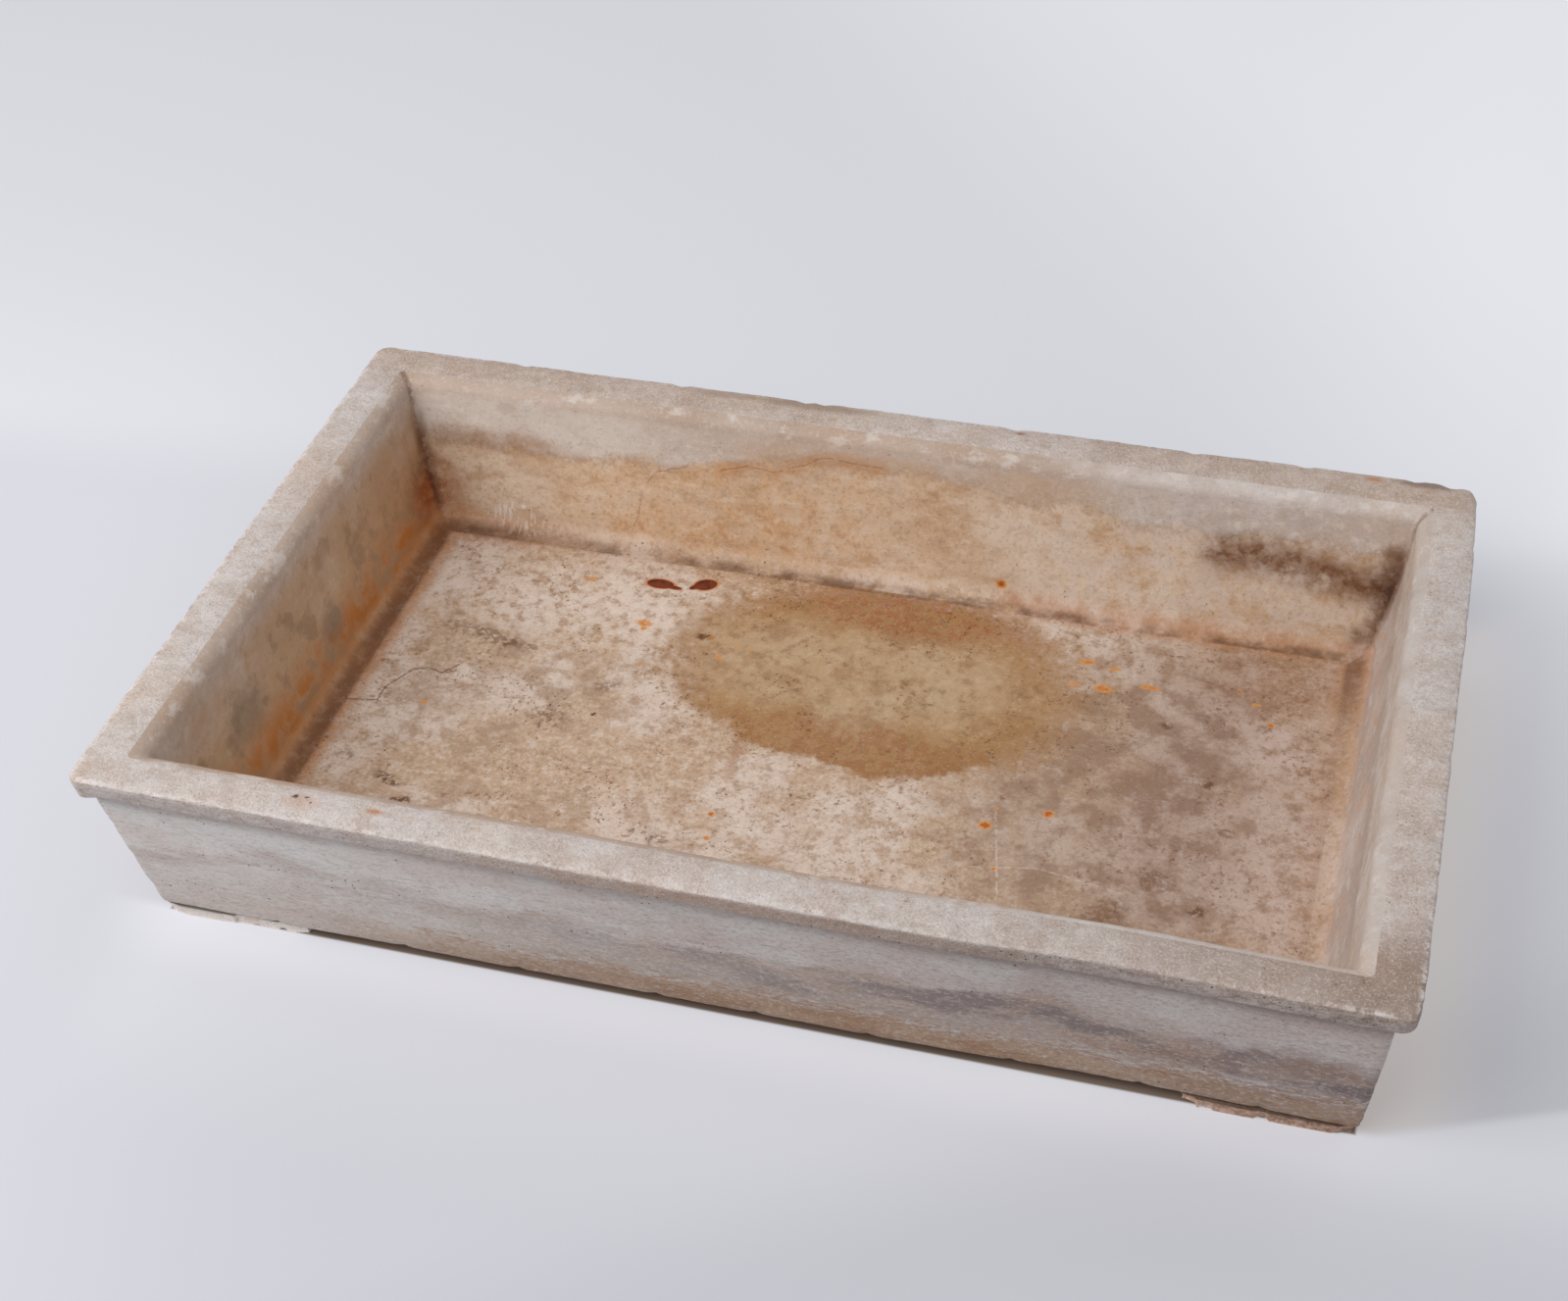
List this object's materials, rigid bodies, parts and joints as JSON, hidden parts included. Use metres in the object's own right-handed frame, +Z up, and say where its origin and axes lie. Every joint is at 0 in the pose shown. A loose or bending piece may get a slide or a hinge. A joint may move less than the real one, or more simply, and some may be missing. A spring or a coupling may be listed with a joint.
{
  "type": "narcissus bowl",
  "caption": "Low rectangular carved marble basin with an everted rim, leaning walls and low corner feet, for growing bulbs in water and pebbles.",
  "frame": {"origin": "on the ground, under the middle of the bowl's outline", "axes": "+X along the bowl's length to its right end, -Y to its front, +Z up out of its mouth"},
  "size_m": [0.58, 0.354, 0.0975],
  "materials": {
    "basin_marble": "weathered marble, pale grey-white outside and tan stained inside, satin to matt",
    "foot_stone": "rough brown-tan stone with broken edges, matt"
  },
  "bodies": {
    "root": {"basin": "basin_marble", "foot_front_left": "foot_stone", "foot_front_right": "foot_stone", "foot_back_left": "foot_stone", "foot_back_right": "foot_stone"}
  },
  "joints": []
}
